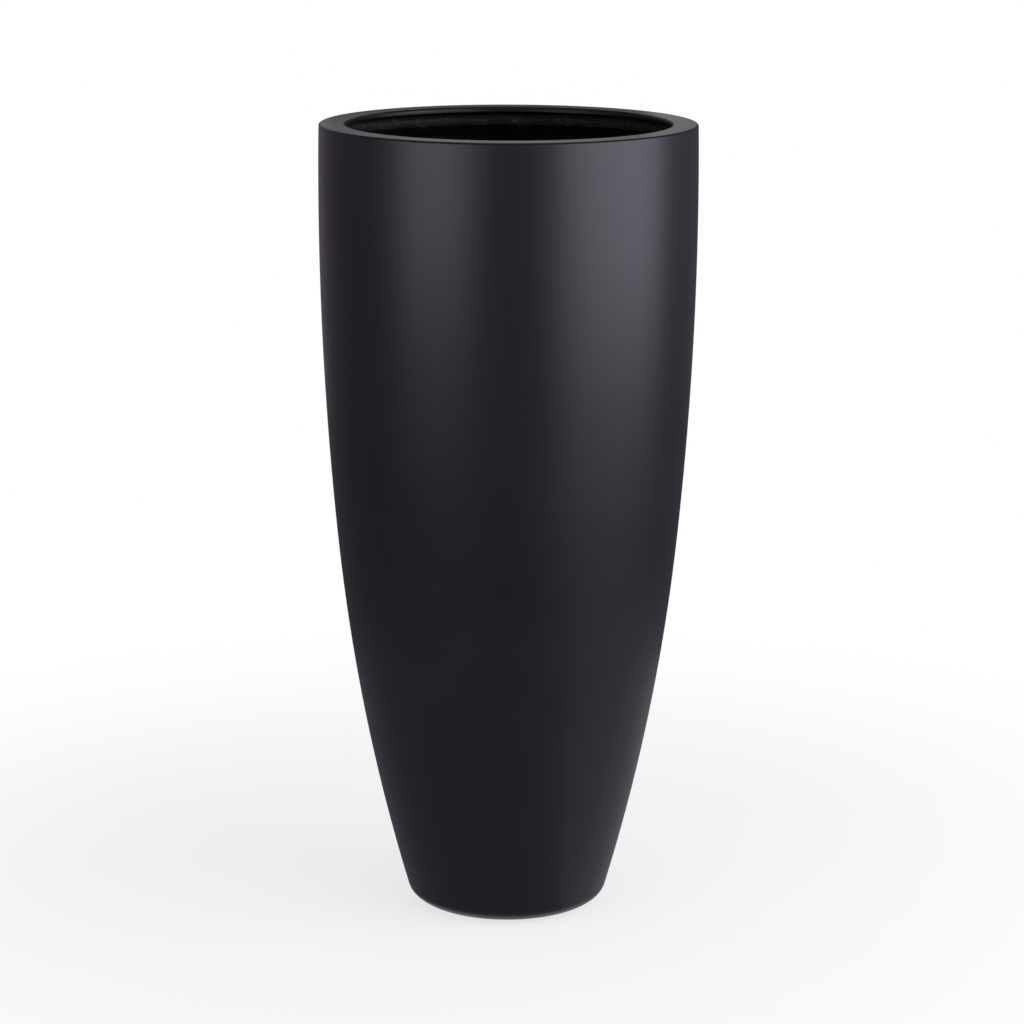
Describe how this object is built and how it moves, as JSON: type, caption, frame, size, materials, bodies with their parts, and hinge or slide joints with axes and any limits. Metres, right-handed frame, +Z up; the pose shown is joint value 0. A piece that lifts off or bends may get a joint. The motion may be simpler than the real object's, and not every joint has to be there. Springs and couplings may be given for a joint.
{
  "type": "tall round planter",
  "caption": "Tall round tapered fibreglass planter in satin black, with a flat hollow rim, a rough laminate inside, a raised floor with a rubber drain plug, and rubber foot pads.",
  "frame": {"origin": "centre of the base, on the ground under the foot pads", "axes": "+Z up the planter's axis to the mouth; the foot pads lie at 45 degrees to +X and +Y"},
  "size_m": [0.3751, 0.3752, 0.8],
  "materials": {
    "painted_shell": "satin black paint over glass-fibre laminate",
    "raw_laminate": "rough, unsanded black glass-fibre laminate",
    "plug_rubber": "moulded black rubber",
    "pad_rubber": "matt black rubber"
  },
  "bodies": {
    "planter": {"body_shell": "painted_shell", "rim_ring": "painted_shell", "rim_joint_strip": "raw_laminate", "floor_disc": "raw_laminate", "floor_joint_strip": "raw_laminate", "foot_pad_1": "pad_rubber", "foot_pad_2": "pad_rubber", "foot_pad_3": "pad_rubber", "foot_pad_4": "pad_rubber"},
    "plug": {"drain_plug": "plug_rubber"}
  },
  "joints": [
    {"name": "plug_lift", "type": "slide", "parent": "planter", "child": "plug", "axis": [0, 0, 1], "range_m": [0, 0.85]}
  ]
}
